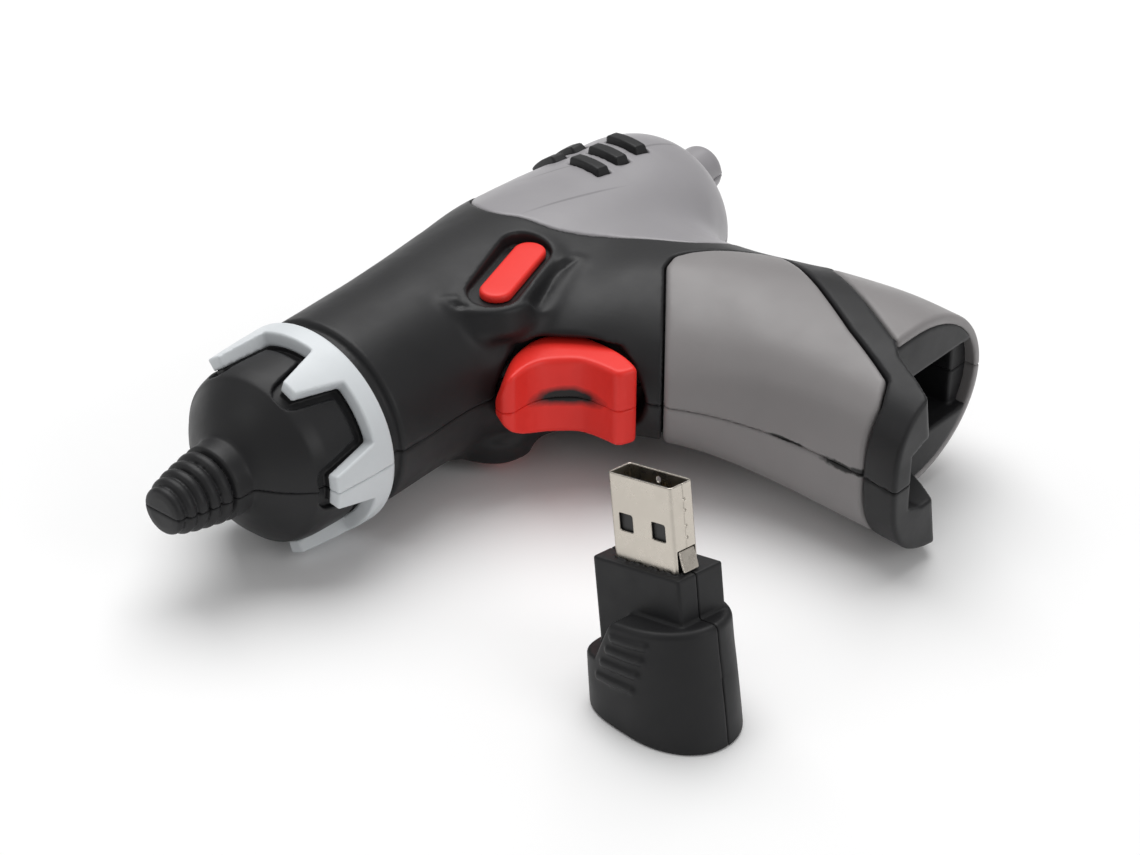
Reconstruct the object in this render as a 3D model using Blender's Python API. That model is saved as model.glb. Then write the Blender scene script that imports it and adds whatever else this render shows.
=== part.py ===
"""Novelty memory stick shaped like a cordless drill: two-part soft PVC drill and its pull-out stick.

Metres, +Z up. The drill lies on its side: its mid-plane is level and every drill piece is made as an
upper and a lower half of it. The stick stands on its own foot beside the trigger.
In the drill's own axes x runs forward to the bit, y down the handle, z out of the mid-plane.
"""

import math

import bmesh
import bpy
from mathutils import Matrix, Vector

MM = 0.001

# Where the drill's own axes sit in the row frame
ORIGIN_X = 35.6
ORIGIN_Y = -31.1
MID_Z = 16.6
SEAM = 0.15

# Barrel sections: x, centre y, half height, half thickness
BARREL = [
    (-0.9, 0.0, 14.6, 14.6),
    (-2.3, 0.0, 14.7, 14.7),
    (-3.1, 0.0, 15.3, 15.3),
    (-4.4, -0.1, 15.65, 15.65),
    (-16.5, -0.6, 15.8, 15.7),
    (-27.0, -0.7, 16.6, 16.0),
    (-39.0, -0.8, 18.2, 16.3),
    (-50.0, -0.9, 19.9, 16.3),
    (-61.0, -1.2, 19.4, 15.9),
    (-70.0, -1.6, 18.1, 15.4),
    (-80.0, -2.6, 16.9, 14.9),
    (-86.0, -3.3, 14.9, 13.4),
    (-89.6, -3.4, 11.6, 10.9),
    (-91.5, -3.2, 7.8, 7.4),
    (-92.5, -3.0, 4.3, 4.0),
]
# Handle sections: y, front x, back x, half thickness, squareness of the front and of the back
HANDLE = [
    (7.0, -22.1, -81.2, 12.5, 2.0, 2.0),
    (15.0, -24.5, -79.0, 13.6, 1.95, 2.0),
    (22.0, -28.6, -77.0, 14.3, 1.85, 2.0),
    (29.0, -33.4, -76.8, 14.5, 1.7, 2.0),
    (37.0, -38.0, -78.2, 14.6, 1.85, 2.0),
    (46.0, -41.4, -79.8, 14.7, 2.3, 2.0),
    (57.0, -42.9, -80.9, 14.8, 2.8, 2.0),
    (66.0, -42.8, -80.2, 14.7, 3.0, 2.0),
    (77.5, -41.5, -79.8, 14.5, 2.9, 2.0),
]
# Chuck and bit: distance along the barrel, radius
CHUCK = [
    (-0.5, 13.7), (3.0, 13.6), (10.0, 13.2), (14.2, 12.9), (15.4, 12.3), (16.4, 11.0), (17.8, 8.6),
    (18.8, 6.6), (19.2, 6.05), (21.8, 5.75), (22.3, 5.2), (22.8, 5.65), (24.1, 5.55), (24.5, 4.9),
    (25.0, 5.3), (26.1, 5.15), (26.5, 4.5), (27.0, 4.9), (28.0, 4.75), (28.4, 4.0), (28.9, 4.4),
    (29.9, 4.2), (30.3, 3.3), (30.7, 3.6), (31.4, 3.4), (31.8, 2.8),
]
COLLAR_RADIUS = 16.6
COLLAR_TIP_RADIUS = 16.1
COLLAR_BORE = 14.1
COLLAR_LENGTH = 11.6
TOOTH_ROOT = 3.6
TOOTH_COUNT = 6
TOOTH_PHASE = 5.0

# Outlines of the pieces, looking down on the mid-plane
REAR_COVER = [(-45.3, -2.75), (-46.5, 0.3), (-48.2, 5.55), (-50.9, 9.1), (-54.3, 12.3), (-57.8, 16.4),
              (-60.8, 21.2), (-63.2, 23.4), (-66.5, 24.8), (-71.0, 25.2), (-112.0, 25.0), (-112.0, -30.0),
              (-66.0, -30.0), (-63.0, -22.0), (-59.0, -18.0), (-54.0, -15.6), (-50.0, -13.2),
              (-47.2, -10.0), (-45.4, -6.0)]
SIDE_PANEL = [(-52.0, 25.5), (-38.0, 36.7), (-30.0, 42.9), (-30.0, 64.0), (-42.4, 70.9), (-45.1, 71.3),
              (-48.8, 69.8), (-54.9, 58.5), (-61.6, 47.9), (-65.8, 41.0), (-68.0, 36.5), (-67.5, 34.0),
              (-64.6, 30.4), (-61.5, 27.6), (-58.0, 25.6), (-55.0, 24.6)]
BACK_PANEL = [(-70.8, 43.0), (-95.0, 40.6), (-95.0, 66.0), (-56.4, 66.0)]
END_CUT = [(-58.2, 66.0), (-56.0, 68.6), (-54.4, 71.2), (-53.0, 73.8), (-50.6, 78.0), (-50.6, 92.0), (-98.0, 92.0),
           (-98.0, 66.0)]
TRIGGER = [(-20.6, 18.4), (-20.5, 19.7), (-21.6, 20.7), (-23.3, 20.8), (-25.1, 20.9), (-27.5, 21.6),
           (-29.6, 23.2), (-31.3, 25.2), (-31.9, 27.2), (-32.1, 30.1), (-32.2, 32.3), (-33.8, 33.4),
           (-35.6, 33.3), (-37.3, 28.5), (-37.4, 22.0), (-35.4, 18.0), (-31.5, 16.2), (-27.0, 16.3),
           (-23.0, 16.9), (-21.2, 17.5)]
TRIGGER_HALF = 7.0
# Across the trigger, t runs down it and n out of it; heights above the mid-plane against t
TRIGGER_AT = (-24.0, 16.0)
TRIGGER_SLANT = 35.8
TRIGGER_NOSE = [(-2.0, -1.0), (-2.0, 1.5), (-0.2, 2.4), (0.2, 3.0), (0.8, 4.6), (1.6, 6.0), (2.6, 6.8), (3.4, 8.0),
                (26.0, 8.0), (26.0, -1.0)]
TRIGGER_MOUTH = [(-0.9, -1.0), (-0.9, 0.0), (-0.6, 1.8), (0.25, 3.4), (1.35, 5.4), (2.76, 6.8), (5.1, 8.1),
                 (7.5, 8.7), (10.5, 8.8), (13.0, 8.4), (15.5, 7.6), (18.0, 6.6), (19.7, 5.5), (20.9, 3.7),
                 (21.7, 2.1), (22.2, 0.0), (22.2, -1.0)]
MOUTH_DEPTH = -5.0
BUTTON_ENDS = ((-41.2, 6.9), (-29.0, 10.9))
BUTTON_RADIUS = 2.6
BUTTON_TOP = 15.1
WELL_ENDS = ((-40.8, 6.5), (-28.8, 10.4))
WELL_RADIUS = 4.0
BUTTON_FLOOR = 12.5
PANEL_DEPTH = 1.6
BACK_DEPTH = 1.7
GAP = 0.3

# Rear nub, socket in the handle's end and the notch in its front lip
NUB_AT = (-92.0, -6.0)
NUB_LENGTH = 11.0
NUB_RADIUS = 4.2
NUB_TILT = 4.0
SOCKET_X = (-74.8, -57.4)
SOCKET_HALF = 5.95
SOCKET_Y = (43.5, 66.0)
NOTCH = [(-45.3, 4.6), (-48.6, 5.9), (-60.0, 5.9), (-60.0, -5.9), (-48.6, -5.9), (-45.3, -4.6)]

# Cooling ribs: (x, degrees round the barrel from straight out of the side, length)
RIBS = [(-67.85, 8.2, 7.4), (-73.2, 10.3, 7.5), (-78.4, 11.9, 7.7), (-70.0, 48.5, 7.5), (-74.8, 48.5, 7.5)]
RIB_WIDTH = 2.5
RIB_HEIGHT = 0.95
RIB_SLANT = -10.0

# The stick, in its own axes: w across its broad side, d through it, a up its length
STICK_X = 2.9
STICK_Y = 70.7
LEAN_W = 12.0
LEAN_D = 6.0
STICK_YAW = 5.0
FOOT_FRONT = -9.6
FOOT_BACK = 11.6
FOOT_HALF = 8.2
SHELF = 15.8
STEP = 9.6
NECK_HALF_W = 8.27
NECK_D = (-3.6, 5.2)
PLUG_AT = 0.7
NECK_TOP = 22.7
PLUG_W = 12.0
PLUG_D = 4.5
PLUG_TOP = 35.5
PLUG_BOTTOM = 18.2
PLUG_WALL = 0.3
WINDOW = 2.6
WINDOW_W = 3.1
WINDOW_A = 28.5

SEGMENTS = 36


def clear_scene():
    for old in list(bpy.data.objects):
        bpy.data.objects.remove(old, do_unlink=True)


def material(name, colour, roughness, metallic=0.0):
    mat = bpy.data.materials.new(name)
    mat.use_nodes = True
    shader = mat.node_tree.nodes["Principled BSDF"]
    shader.inputs["Base Color"].default_value = (*colour, 1.0)
    shader.inputs["Roughness"].default_value = roughness
    shader.inputs["Metallic"].default_value = metallic
    mat.diffuse_color = (*colour, 1.0)
    return mat


def new_object(name, bm, smooth=False):
    bmesh.ops.recalc_face_normals(bm, faces=bm.faces)
    mesh = bpy.data.meshes.new(name)
    bm.to_mesh(mesh)
    bm.free()
    obj = bpy.data.objects.new(name, mesh)
    bpy.context.scene.collection.objects.link(obj)
    if smooth:
        for face in mesh.polygons:
            face.use_smooth = True
    return obj


def drop(*objects):
    for obj in objects:
        bpy.data.objects.remove(obj, do_unlink=True)


def combine(target, cutter, operation, keep_cutter=False):
    """Boolean the cutter into the target and keep the result as the target's own mesh."""
    step = target.modifiers.new(operation.lower(), "BOOLEAN")
    step.operation = operation
    step.solver = "EXACT"
    step.object = cutter
    graph = bpy.context.evaluated_depsgraph_get()
    mesh = bpy.data.meshes.new_from_object(target.evaluated_get(graph))
    target.modifiers.clear()
    target.data = mesh
    if not keep_cutter:
        drop(cutter)
    return target


def copy_of(obj, name="copy"):
    twin = bpy.data.objects.new(name, obj.data.copy())
    bpy.context.scene.collection.objects.link(twin)
    return twin


def loft(name, rings):
    """Skin a closed body through rings of points, with a face at each end."""
    bm = bmesh.new()
    loops = []
    for points in rings:
        verts = [bm.verts.new(Vector(p) * MM) for p in points]
        edges = [bm.edges.new((verts[i], verts[(i + 1) % len(verts)])) for i in range(len(verts))]
        loops.append((verts, edges))
    for (_, near), (_, far) in zip(loops, loops[1:]):
        bmesh.ops.bridge_loops(bm, edges=near + far)
    bm.faces.new(loops[0][0])
    bm.faces.new(loops[-1][0])
    return new_object(name, bm)


def prism(name, outline, low, high, bevel=0.0, axis="z"):
    """A straight prism on an outline; axis says which way it is extruded."""
    place = {
        "z": lambda u, v, t: (u, v, t),
        "y": lambda u, v, t: (u, t, v),
        "x": lambda u, v, t: (t, u, v),
    }[axis]
    bm = bmesh.new()
    base = bm.faces.new([bm.verts.new(Vector(place(u, v, low)) * MM) for u, v in outline])
    made = bmesh.ops.extrude_face_region(bm, geom=[base])
    top = [item for item in made["geom"] if isinstance(item, bmesh.types.BMVert)]
    step = Vector(place(0.0, 0.0, high)) - Vector(place(0.0, 0.0, low))
    bmesh.ops.translate(bm, verts=top, vec=step * MM)
    if bevel:
        rim = [e for e in bm.edges if all(v in top for v in e.verts)]
        bmesh.ops.bevel(bm, geom=rim, offset=bevel * MM, segments=2, profile=0.5, affect="EDGES")
    return new_object(name, bm)


def box(name, x, y, z, bevel=0.0):
    corners = [(x[0], y[0]), (x[1], y[0]), (x[1], y[1]), (x[0], y[1])]
    obj = prism(name, corners, z[0], z[1])
    if bevel:
        bm = bmesh.new()
        bm.from_mesh(obj.data)
        bmesh.ops.bevel(bm, geom=bm.edges[:], offset=bevel * MM, segments=1, affect="EDGES")
        bm.to_mesh(obj.data)
        bm.free()
    return obj


def rounded(u, power):
    return math.copysign(abs(u) ** (2.0 / power), u)


def barrel_ring(x, cy, half_y, half_z, inset):
    points = []
    for i in range(SEGMENTS):
        t = 2 * math.pi * (i + 0.5) / SEGMENTS
        points.append((x, cy + (half_y - inset) * math.cos(t), (half_z - inset) * math.sin(t)))
    return points


def handle_ring(y, front, back, half_z, front_power, back_power, inset):
    centre = (front + back) / 2
    half_x = (front - back) / 2 - inset
    points = []
    for i in range(SEGMENTS):
        t = 2 * math.pi * (i + 0.5) / SEGMENTS
        c, s = math.cos(t), math.sin(t)
        power = front_power if c > 0 else back_power
        points.append((centre + half_x * rounded(c, power), y, (half_z - inset) * rounded(s, power)))
    return points


def whole_body(name, inset=0.0):
    """Barrel and handle as one closed body, shrunk by inset all round."""
    body = loft(name, [barrel_ring(*row, inset) for row in BARREL])
    return combine(body, loft("handle", [handle_ring(*row, inset) for row in HANDLE]), "UNION")


def grown(outline, by):
    """The outline moved outward by a set distance."""
    count = len(outline)
    area = sum(outline[i][0] * outline[(i + 1) % count][1] - outline[(i + 1) % count][0] * outline[i][1]
               for i in range(count))
    turn = 1.0 if area > 0 else -1.0
    moved = []
    for i in range(count):
        before, here, after = (Vector(outline[j % count]) for j in (i - 1, i, i + 1))
        first = (here - before).normalized()
        second = (after - here).normalized()
        out_a = Vector((first.y, -first.x)) * turn
        out_b = Vector((second.y, -second.x)) * turn
        out = (out_a + out_b) / max(0.35, 1.0 + out_a.dot(out_b))
        moved.append(tuple(here + out * by))
    return moved


def pill(ends, radius, steps=7):
    (x0, y0), (x1, y1) = ends
    turn = math.atan2(y1 - y0, x1 - x0)
    points = []
    for cx, cy, start in ((x1, y1, turn - math.pi / 2), (x0, y0, turn + math.pi / 2)):
        for i in range(steps):
            t = start + math.pi * i / (steps - 1)
            points.append((cx + radius * math.cos(t), cy + radius * math.sin(t)))
    return points


def lathe(name, profile, segments=32):
    rings = []
    for x, radius in profile:
        rings.append([(x, radius * math.cos(t), radius * math.sin(t))
                      for t in (2 * math.pi * (i + 0.5) / segments for i in range(segments))])
    return loft(name, rings)


def across_trigger(name, outline, near, far):
    """A prism that runs out of the trigger's face, on an outline of t and z."""
    obj = prism(name, outline, near, far, axis="x")
    turn = Matrix.Rotation(math.radians(TRIGGER_SLANT), 4, "Z")
    obj.data.transform(Matrix.Translation(Vector((*TRIGGER_AT, 0.0)) * MM) @ turn)
    return obj


def upper_part(obj):
    return combine(obj, box("above", (-130, 60), (-60, 120), (SEAM, 60)), "INTERSECT")


def lower_part(obj):
    return combine(obj, box("below", (-130, 60), (-60, 120), (-60, -SEAM)), "INTERSECT")


def mirrored(obj, name):
    """The same shape on the other side of the mid-plane."""
    twin = copy_of(obj, name)
    bm = bmesh.new()
    bm.from_mesh(twin.data)
    bmesh.ops.scale(bm, verts=bm.verts, vec=(1.0, 1.0, -1.0))
    bmesh.ops.reverse_faces(bm, faces=bm.faces)
    bm.to_mesh(twin.data)
    bm.free()
    return twin


def finish(obj, name, mat, parent, smooth=True):
    obj.name = name
    obj.data.name = name
    obj.data.materials.clear()
    obj.data.materials.append(mat)
    obj.parent = parent
    for face in obj.data.polygons:
        face.use_smooth = smooth
    return obj


def rib_block(name, x, angle, length, width, low, high):
    """A bar lying round the barrel at an angle to the mid-plane, running out from radius low to high."""
    outline = [(-width / 2, -length / 2), (width / 2, -length / 2), (width / 2, length / 2),
               (-width / 2, length / 2)]
    obj = prism(name, outline, low, high)
    turn = Matrix.Rotation(math.radians(angle), 4, "X") @ Matrix.Rotation(math.radians(RIB_SLANT), 4, "Z")
    obj.data.transform(Matrix.Translation(Vector((x, -1.2, 0.0)) * MM) @ turn)
    return obj


def drill(root, black, grey, cover_grey, red, silver):
    body = whole_body("body")
    full = copy_of(body, "full")
    inner_thin = whole_body("inner_thin", PANEL_DEPTH)
    inner_gap = whole_body("inner_gap", PANEL_DEPTH + GAP)
    inner_back = whole_body("inner_back", BACK_DEPTH)
    inner_back_gap = whole_body("inner_back_gap", BACK_DEPTH + GAP)
    outer = whole_body("outer", -RIB_HEIGHT)

    # grey skin pieces on the handle
    side = combine(copy_of(full), prism("cut", SIDE_PANEL, -30, 30), "INTERSECT")
    combine(side, inner_thin, "DIFFERENCE", keep_cutter=True)
    back = combine(copy_of(full), prism("cut", BACK_PANEL, -30, 30), "INTERSECT")
    combine(back, inner_back, "DIFFERENCE")

    # black core: handle end, socket, notch and the seats of the coloured pieces
    combine(body, prism("cut", grown(REAR_COVER, GAP), -30, 30), "DIFFERENCE")
    combine(body, prism("cut", END_CUT, -30, 30), "DIFFERENCE")
    seat = combine(prism("seat", grown(SIDE_PANEL, GAP), -30, 30), inner_gap, "DIFFERENCE", keep_cutter=True)
    combine(body, seat, "DIFFERENCE")
    seat = combine(prism("seat", grown(BACK_PANEL, GAP), -30, 30), inner_back_gap, "DIFFERENCE")
    combine(body, seat, "DIFFERENCE")
    combine(body, box("socket", SOCKET_X, (SOCKET_Y[0], SOCKET_Y[1] + 4), (-SOCKET_HALF, SOCKET_HALF)),
            "DIFFERENCE")
    combine(body, prism("notch", NOTCH, 64.0, 84.0, axis="y"), "DIFFERENCE")
    combine(body, prism("cut", grown(TRIGGER, GAP), -TRIGGER_HALF - GAP, TRIGGER_HALF + GAP), "DIFFERENCE")
    body = upper_part(body)
    combine(body, across_trigger("mouth", TRIGGER_MOUTH, MOUTH_DEPTH, 30.0), "DIFFERENCE")
    combine(body, prism("cut", pill(WELL_ENDS, WELL_RADIUS), BUTTON_FLOOR, 30), "DIFFERENCE")
    finish(body, "body_shell_upper", black, root)
    finish(mirrored(body, "low"), "body_shell_lower", black, root)

    side = upper_part(side)
    finish(side, "grip_side_panel_upper", grey, root)
    finish(mirrored(side, "low"), "grip_side_panel_lower", grey, root)
    back = upper_part(back)
    finish(back, "grip_back_panel_upper", grey, root)
    finish(mirrored(back, "low"), "grip_back_panel_lower", grey, root)

    # rear cover with its nub, and the ribs that stand in pockets in it
    cover = combine(full, prism("cut", REAR_COVER, -30, 30), "INTERSECT")
    nub = lathe("nub", [(3.0, NUB_RADIUS), (2.0 - NUB_LENGTH, NUB_RADIUS), (1.1 - NUB_LENGTH, NUB_RADIUS * 0.95),
                        (0.3 - NUB_LENGTH, NUB_RADIUS * 0.8), (-NUB_LENGTH, NUB_RADIUS * 0.5)], 20)
    nub.data.transform(Matrix.Translation(Vector((*NUB_AT, 0.0)) * MM)
                       @ Matrix.Rotation(math.radians(NUB_TILT), 4, "Z"))
    combine(cover, nub, "UNION")
    cover = upper_part(cover)
    for number, (x, angle, length) in enumerate(RIBS, 1):
        pocket = rib_block("pocket", x, angle, length + 2 * GAP, RIB_WIDTH + 2 * GAP, 6.0, 26.0)
        combine(pocket, inner_gap, "DIFFERENCE", keep_cutter=True)
        combine(cover, pocket, "DIFFERENCE")
        rib = rib_block("rib", x, angle, length, RIB_WIDTH, 6.0, 26.0)
        combine(rib, outer, "INTERSECT", keep_cutter=True)
        combine(rib, inner_thin, "DIFFERENCE", keep_cutter=True)
        finish(rib, f"vent_rib_upper_{number}", black, root)
        finish(mirrored(rib, "low"), f"vent_rib_lower_{number}", black, root)
    finish(cover, "rear_cover_upper", cover_grey, root)
    finish(mirrored(cover, "low"), "rear_cover_lower", cover_grey, root)
    drop(inner_thin, inner_gap, outer)

    # red pieces
    trigger = prism("trigger", TRIGGER, SEAM, TRIGGER_HALF, bevel=0.6)
    combine(trigger, across_trigger("nose", TRIGGER_NOSE, -20.0, 20.0), "INTERSECT")
    finish(trigger, "trigger_upper", red, root)
    finish(mirrored(trigger, "low"), "trigger_lower", red, root)
    button = prism("button", pill(BUTTON_ENDS, BUTTON_RADIUS), BUTTON_FLOOR + GAP, BUTTON_TOP, bevel=0.6)
    finish(button, "side_button_upper", red, root)
    finish(mirrored(button, "low"), "side_button_lower", red, root)

    # chuck with its bit, and the toothed collar round it
    chuck = lathe("chuck", CHUCK)
    finish(lower_part(copy_of(chuck)), "chuck_lower", black, root)
    finish(upper_part(chuck), "chuck_upper", black, root)
    collar = toothed_collar()
    finish(lower_part(copy_of(collar)), "collar_lower", silver, root)
    finish(upper_part(collar), "collar_upper", silver, root)


def toothed_collar():
    segments = 72
    ring = lathe("collar", [(0.0, COLLAR_RADIUS - 0.4), (0.5, COLLAR_RADIUS), (3.6, COLLAR_RADIUS - 0.3),
                            (COLLAR_LENGTH, COLLAR_TIP_RADIUS)], segments)
    combine(ring, lathe("bore", [(-2.0, COLLAR_BORE), (COLLAR_LENGTH + 2, COLLAR_BORE - 0.2)], segments),
            "DIFFERENCE")
    for k in range(TOOTH_COUNT):
        middle = math.radians(TOOTH_PHASE + (k + 0.5) * 360 / TOOTH_COUNT)
        gap_root = math.tan(math.radians(18.0))
        gap_tip = math.tan(math.radians(25.5))
        reach = COLLAR_LENGTH + 1.0
        rings = []
        for radius in (11.0, 20.0):
            rings.append([(TOOTH_ROOT, -radius * gap_root, radius), (TOOTH_ROOT, radius * gap_root, radius),
                          (reach, radius * gap_tip, radius), (reach, -radius * gap_tip, radius)])
        wedge = loft("wedge", rings)
        wedge.data.transform(Matrix.Rotation(middle - math.pi / 2, 4, "X"))
        combine(ring, wedge, "DIFFERENCE")
    return ring


def foot_ring(a, flare):
    centre = (FOOT_FRONT + FOOT_BACK) / 2
    half_w = (FOOT_BACK - FOOT_FRONT) / 2 + flare
    points = []
    for i in range(SEGMENTS):
        t = 2 * math.pi * (i + 0.5) / SEGMENTS
        c, s = math.cos(t), math.sin(t)
        power = 3.6 if c < 0 else 2.1
        points.append((centre + half_w * rounded(c, power), (FOOT_HALF + flare) * rounded(s, power), a))
    return points


def stick_shell(stick, black):
    shell = loft("stick", [foot_ring(-6.0, 0.4), foot_ring(1.0, 0.35), foot_ring(SHELF - 0.6, 0.0),
                           foot_ring(SHELF, -0.5)])
    ramp = [(-1.4, SHELF + 0.1), (-5.2, STEP), (-25.0, STEP), (-25.0, 40.0), (-1.4, 40.0)]
    combine(shell, prism("ramp", ramp, -20, 20, axis="y"), "DIFFERENCE")
    neck = [(-NECK_HALF_W, NECK_D[0]), (NECK_HALF_W, NECK_D[0]), (NECK_HALF_W, NECK_D[1]),
            (-NECK_HALF_W, NECK_D[1])]
    combine(shell, prism("neck", neck, 4.0, NECK_TOP, bevel=0.3), "UNION")
    ground = box("ground", (-40, 40), (-40, 40), (-30, 0))
    ground.data.transform(stick_turn().inverted())
    combine(shell, ground, "DIFFERENCE")
    combine(shell, box("hollow", (-7.0, 7.0), (-2.35, 2.35), (4.5, 20.7)), "DIFFERENCE")
    mouth = box("mouth", (PLUG_AT - PLUG_W / 2 - 0.15, PLUG_AT + PLUG_W / 2 + 0.15),
                (-PLUG_D / 2 - 0.15, PLUG_D / 2 + 0.15), (16.2, NECK_TOP + 3))
    combine(shell, mouth, "DIFFERENCE")
    front = combine(copy_of(shell), box("side", (-40, 40), (-40, -0.1), (-30, 60)), "INTERSECT")
    back = combine(shell, box("side", (-40, 40), (0.1, 40), (-30, 60)), "INTERSECT")
    finish(front, "stick_shell_front", black, stick)
    finish(back, "stick_shell_back", black, stick)


def stick_turn():
    """Rotation that leans the stick back over its foot; w points down the handle, d to the rear."""
    up = Vector((-math.tan(math.radians(LEAN_D)), -math.tan(math.radians(LEAN_W)), 1.0)).normalized()
    yaw = math.radians(STICK_YAW)
    across = Vector((math.sin(yaw), math.cos(yaw), 0.0))
    across = (across - up * across.dot(up)).normalized()
    through = up.cross(across)
    turn = Matrix((across, through, up)).transposed()
    return turn.to_4x4()


def usb_plug(stick, steel, plastic, gold):
    left, right, half_d = PLUG_AT - PLUG_W / 2, PLUG_AT + PLUG_W / 2, PLUG_D / 2
    shell = box("usb_shell", (left, right), (-half_d, half_d), (PLUG_BOTTOM, PLUG_TOP))
    bore = box("bore", (left + PLUG_WALL, right - PLUG_WALL), (-half_d + PLUG_WALL, half_d - PLUG_WALL),
               (PLUG_BOTTOM - 5, PLUG_TOP + 5))
    combine(shell, bore, "DIFFERENCE")
    for side in (-1, 1):
        w = PLUG_AT + side * WINDOW_W
        window = box("window", (w - WINDOW / 2, w + WINDOW / 2), (-5, 5),
                     (WINDOW_A - WINDOW / 2, WINDOW_A + WINDOW / 2))
        combine(shell, window, "DIFFERENCE")
    hole = pill(((PLUG_AT - 0.35, PLUG_TOP - 1.35), (PLUG_AT - 0.34, PLUG_TOP - 1.35)), 0.45, 7)
    combine(shell, prism("hole", hole, 1.0, 5.0, axis="y"), "DIFFERENCE")
    finish(shell, "usb_shell", steel, stick, smooth=False)

    tongue = box("tongue", (PLUG_AT - 5.5, PLUG_AT + 5.5), (-1.8, -0.1), (22.2, PLUG_TOP - 1.0))
    block = box("block", (PLUG_AT - 5.5, PLUG_AT + 5.5), (-1.8, 1.8), (PLUG_BOTTOM + 0.4, 24.2))
    combine(tongue, block, "UNION")
    finish(tongue, "usb_tongue", plastic, stick, smooth=False)
    for number, w in enumerate((-3.5, -1.0, 1.0, 3.5), 1):
        w += PLUG_AT
        contact = box("contact", (w - 0.5, w + 0.5), (0.0, 0.25), (24.5, PLUG_TOP - 2.6))
        finish(contact, f"usb_contact_{number}", gold, stick, smooth=False)


def electronics(stick, board_green, chip_black, steel, tan):
    pieces = [
        ("circuit_board", (-6.6, 6.6), (-0.5, 0.5), (5.0, 17.8), board_green),
        ("flash_chip", (-5.2, 5.2), (0.7, 1.9), (6.4, 14.2), chip_black),
        ("controller_chip", (-3.2, 3.2), (-1.8, -0.7), (11.0, 16.6), chip_black),
        ("clock_crystal", (-2.4, 2.4), (-1.9, -0.7), (7.6, 9.3), steel),
        ("capacitor_1", (-5.6, -4.6), (-1.3, -0.7), (12.0, 13.6), tan),
        ("capacitor_2", (4.6, 5.6), (-1.3, -0.7), (12.0, 13.6), tan),
    ]
    for name, w, d, a, mat in pieces:
        finish(box(name, w, d, a), name, mat, stick, smooth=False)


def main():
    clear_scene()
    black = material("black_pvc", (0.031, 0.031, 0.034), 0.45)
    stick_black = material("stick_black_pvc", (0.026, 0.027, 0.028), 0.5)
    grey = material("grey_pvc", (0.262, 0.246, 0.254), 0.42)
    cover_grey = material("cover_grey_pvc", (0.305, 0.292, 0.310), 0.42)
    red = material("red_pvc", (0.84, 0.048, 0.036), 0.4)
    silver = material("silver_grey_pvc", (0.49, 0.52, 0.55), 0.45)
    steel = material("nickel_steel", (0.66, 0.62, 0.57), 0.28, 1.0)
    plastic = material("black_insulator", (0.02, 0.02, 0.02), 0.5)
    gold = material("gold_plate", (0.83, 0.62, 0.26), 0.3, 1.0)
    board_green = material("green_board", (0.02, 0.16, 0.06), 0.5)
    chip_black = material("chip_black", (0.03, 0.03, 0.03), 0.6)
    tan = material("ceramic_tan", (0.45, 0.32, 0.2), 0.6)

    root = bpy.data.objects.new("drill_frame", None)
    root.location = Vector((ORIGIN_X, ORIGIN_Y, MID_Z)) * MM
    stick = bpy.data.objects.new("stick_frame", None)
    stick.matrix_world = (Matrix.Translation(Vector((ORIGIN_X + STICK_X, ORIGIN_Y + STICK_Y, 0.0)) * MM)
                          @ stick_turn())
    for empty in (root, stick):
        bpy.context.scene.collection.objects.link(empty)

    drill(root, black, grey, cover_grey, red, silver)
    stick_shell(stick, stick_black)
    usb_plug(stick, steel, plastic, gold)
    electronics(stick, board_green, chip_black, steel, tan)


main()
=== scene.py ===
"""Drill-shaped novelty memory stick: the visible model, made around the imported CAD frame.

Lengths are in millimetres in the drill's own axes until a mesh is made: x runs along the barrel to the bit,
y down the handle and z out of the mid-plane. The stick has its own axes: w across, d through and a up.
Every moulded piece is a smooth field, negative inside, that surface() turns into a closed mesh. A field's slope
stays near 1, so where one is steeper it is scaled by a factor just under 1.
"""

import math

import bmesh
import bpy
import numpy as np
from mathutils import Matrix, Vector


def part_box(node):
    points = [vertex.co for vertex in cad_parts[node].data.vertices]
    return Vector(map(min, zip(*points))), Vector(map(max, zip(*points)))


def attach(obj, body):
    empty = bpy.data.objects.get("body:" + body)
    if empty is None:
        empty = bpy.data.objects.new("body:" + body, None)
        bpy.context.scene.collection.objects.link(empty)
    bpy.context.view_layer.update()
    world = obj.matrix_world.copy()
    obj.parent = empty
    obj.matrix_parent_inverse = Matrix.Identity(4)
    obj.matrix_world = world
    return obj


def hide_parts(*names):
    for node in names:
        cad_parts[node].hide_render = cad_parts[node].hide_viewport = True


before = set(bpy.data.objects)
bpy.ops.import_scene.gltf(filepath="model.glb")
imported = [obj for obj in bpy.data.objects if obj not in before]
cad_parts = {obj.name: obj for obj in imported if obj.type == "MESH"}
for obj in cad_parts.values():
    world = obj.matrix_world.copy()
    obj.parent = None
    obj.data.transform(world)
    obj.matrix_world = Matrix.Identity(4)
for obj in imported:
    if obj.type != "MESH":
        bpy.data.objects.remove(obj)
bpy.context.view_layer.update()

MM = 0.001


def node_box(name):
    low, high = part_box(name)
    return np.array(low) / MM, np.array(high) / MM


collar_low, collar_high = node_box("collar_upper")
ORIGIN = np.array((collar_low[0], (collar_low[1] + collar_high[1]) / 2, collar_high[2] / 2))


# ---------------------------------------------------------------- fields

def round_max(a, b, r):
    """Both solids at once, with the edge where they cross rounded to radius r."""
    if r <= 0:
        return np.maximum(a, b)
    return np.minimum(np.maximum(a, b), -r) + np.hypot(np.maximum(a + r, 0.0), np.maximum(b + r, 0.0))


def round_min(a, b, r):
    """Either solid, with a fillet of radius r where they meet."""
    return -round_max(-a, -b, r)


def soft_min(a, b, r):
    """Either solid, melted together over a distance r."""
    h = np.maximum(r - np.abs(a - b), 0.0) / r
    return np.minimum(a, b) - h ** 3 * r / 6


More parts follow.
